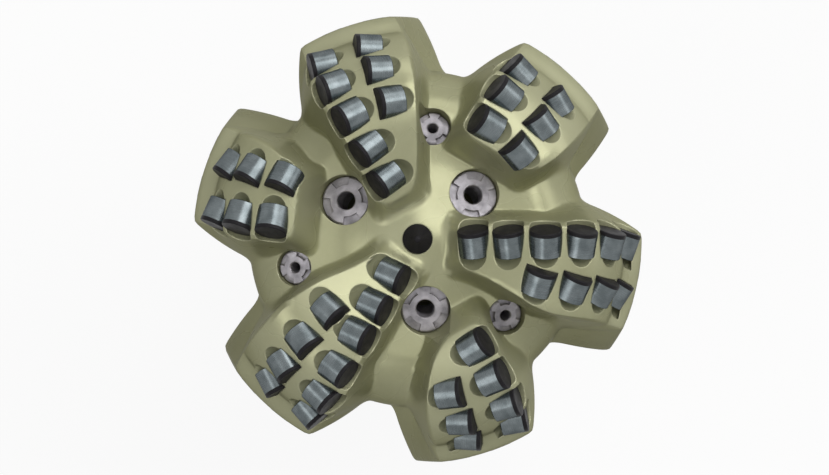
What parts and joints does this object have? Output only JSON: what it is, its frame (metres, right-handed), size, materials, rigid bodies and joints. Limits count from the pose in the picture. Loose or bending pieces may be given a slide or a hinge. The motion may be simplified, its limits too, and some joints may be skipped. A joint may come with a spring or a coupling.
{
  "type": "fixed-cutter drilling bit",
  "caption": "Bladed fixed-cutter drilling bit with diamond-faced cutters, a conical centre element, nozzles in the fluid courses, junk slots, gauge pads and a tapered pin.",
  "frame": {"origin": "centre of the pin's end face, under the middle of the bit", "axes": "+Z along the bit's axis from the pin out through the cutting face, +X through the blade with six front cutters"},
  "size_m": [0.2205, 0.2213, 0.3519],
  "materials": {
    "crown_steel": "satin olive coating over steel",
    "shank_steel": "machined steel with a satin olive coating, its pin bare",
    "weld_steel": "rippled weld metal",
    "cutter_carbide": "ground tungsten carbide",
    "cutter_diamond": "lapped black diamond table",
    "gauge_carbide": "ground tungsten carbide",
    "nozzle_carbide": "matt sintered carbide",
    "sleeve_steel": "turned steel",
    "seal_rubber": "moulded rubber"
  },
  "bodies": {
    "root": {"crown": "crown_steel", "shank": "shank_steel", "weld_bead": "weld_steel", "centre_base": "cutter_carbide", "centre_point": "cutter_diamond", "primary_bodies_3": "cutter_carbide", "primary_tables_3": "cutter_diamond", "backup_bodies_3": "cutter_carbide", "backup_tables_3": "cutter_diamond", "gauge_inserts_3": "gauge_carbide", "primary_bodies_2": "cutter_carbide", "primary_tables_2": "cutter_diamond", "backup_bodies_2": "cutter_carbide", "backup_tables_2": "cutter_diamond", "gauge_inserts_2": "gauge_carbide", "primary_bodies_1": "cutter_carbide", "primary_tables_1": "cutter_diamond", "backup_bodies_1": "cutter_carbide", "backup_tables_1": "cutter_diamond", "gauge_inserts_1": "gauge_carbide", "primary_bodies_6": "cutter_carbide", "primary_tables_6": "cutter_diamond", "backup_bodies_6": "cutter_carbide", "backup_tables_6": "cutter_diamond", "gauge_inserts_6": "gauge_carbide", "primary_bodies_5": "cutter_carbide", "primary_tables_5": "cutter_diamond", "backup_bodies_5": "cutter_carbide", "backup_tables_5": "cutter_diamond", "gauge_inserts_5": "gauge_carbide", "primary_bodies_4": "cutter_carbide", "primary_tables_4": "cutter_diamond", "backup_bodies_4": "cutter_carbide", "backup_tables_4": "cutter_diamond", "gauge_inserts_4": "gauge_carbide", "nozzle_large_1": "nozzle_carbide", "nozzle_sleeve_large_1": "sleeve_steel", "nozzle_seal_large_1": "seal_rubber", "nozzle_large_2": "nozzle_carbide", "nozzle_sleeve_large_2": "sleeve_steel", "nozzle_seal_large_2": "seal_rubber", "nozzle_large_3": "nozzle_carbide", "nozzle_sleeve_large_3": "sleeve_steel", "nozzle_seal_large_3": "seal_rubber", "nozzle_small_1": "nozzle_carbide", "nozzle_sleeve_small_1": "sleeve_steel", "nozzle_seal_small_1": "seal_rubber", "nozzle_small_2": "nozzle_carbide", "nozzle_sleeve_small_2": "sleeve_steel", "nozzle_seal_small_2": "seal_rubber", "nozzle_small_3": "nozzle_carbide", "nozzle_sleeve_small_3": "sleeve_steel", "nozzle_seal_small_3": "seal_rubber"}
  },
  "joints": []
}
